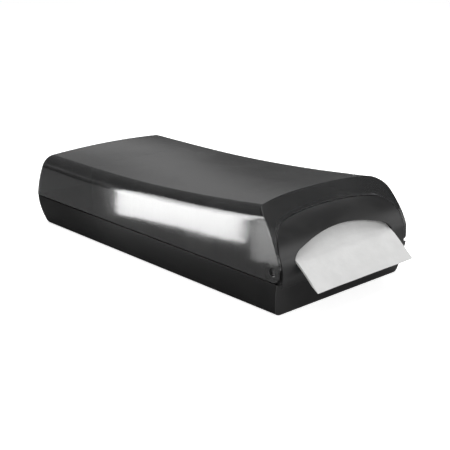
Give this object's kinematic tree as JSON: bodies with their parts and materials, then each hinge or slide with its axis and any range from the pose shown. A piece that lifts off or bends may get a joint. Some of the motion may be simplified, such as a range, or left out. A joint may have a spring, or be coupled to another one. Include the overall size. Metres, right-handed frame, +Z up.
{
  "type": "napkin dispenser",
  "caption": "Low counter-top napkin dispenser with a tilting smoked cover, a spring-driven pusher on two guide rods and an arched front mouth.",
  "frame": {"origin": "centre of the footprint, on the surface that the rubber feet stand on", "axes": "+Z up, the dispensing mouth faces -Y, +Y runs along the length to the rear, +X to the right as seen from the front"},
  "size_m": [0.16, 0.3708, 0.0861],
  "materials": {
    "smoke_cover": "smoked translucent plastic, satin gloss",
    "black_case": "black moulded plastic",
    "black_fascia": "black moulded plastic, semi gloss",
    "black_internal": "black moulded plastic",
    "napkin_paper": "embossed tissue",
    "steel": "plated steel",
    "spring_steel": "rolled spring strip",
    "screws": "zinc plated",
    "bushes": "acetal",
    "rubber": "soft rubber"
  },
  "bodies": {
    "base": {"base_tray": "black_case", "front_fascia": "black_fascia", "fascia_screw_left": "screws", "fascia_screw_right": "screws", "hinge_pin_left": "black_internal", "hinge_pin_right": "black_internal", "guide_rod_left": "steel", "guide_rod_right": "steel", "rod_block_front_left": "black_internal", "rod_block_front_right": "black_internal", "rod_block_rear_left": "black_internal", "rod_block_rear_right": "black_internal", "stack_runner_left": "black_internal", "stack_runner_right": "black_internal", "ribbon_clip": "steel", "clip_screw_left": "screws", "clip_screw_right": "screws", "spring_ribbon": "spring_steel", "napkin_stack": "napkin_paper", "napkin_front": "napkin_paper", "lock_housing": "steel", "foot_front_left": "rubber", "foot_front_right": "rubber", "foot_rear_left": "rubber", "foot_rear_right": "rubber"},
    "cover": {"cover_shell": "smoke_cover", "hinge_bush_left": "bushes", "hinge_bush_right": "bushes", "catch_post": "black_internal", "cover_catch": "steel", "catch_screw_upper": "screws", "catch_screw_lower": "screws"},
    "pusher": {"pusher_plate": "black_internal", "pusher_carriage": "black_internal", "rod_bush_left": "bushes", "rod_bush_right": "bushes", "plate_screw_left": "screws", "plate_screw_right": "screws", "drum_axle": "steel"},
    "drum": {"spring_drum": "spring_steel"},
    "lock": {"lock_barrel": "steel", "lock_cam": "steel"}
  },
  "joints": [
    {"name": "cover_hinge", "type": "hinge", "parent": "base", "child": "cover", "pos_m": [0, -0.1666, 0.0385], "axis": [1, 0, 0], "range_deg": [0, 75]},
    {"name": "pusher_slide", "type": "slide", "parent": "base", "child": "pusher", "axis": [0, -1, 0], "range_m": [0, 0.25], "deforming": ["napkin_stack", "spring_ribbon"]},
    {"name": "drum_spin", "type": "hinge", "parent": "pusher", "child": "drum", "pos_m": [0, 0.1388, 0.0138], "axis": [1, 0, 0], "range_deg": [-1, 1600]},
    {"name": "lock_turn", "type": "hinge", "parent": "base", "child": "lock", "pos_m": [0, 0.1615, 0.018], "axis": [0, 1, 0], "range_deg": [0, 90]}
  ],
  "couplings": [
    {"joint": "drum_spin", "follows": "pusher_slide", "rad_per_m": 111.11}
  ]
}
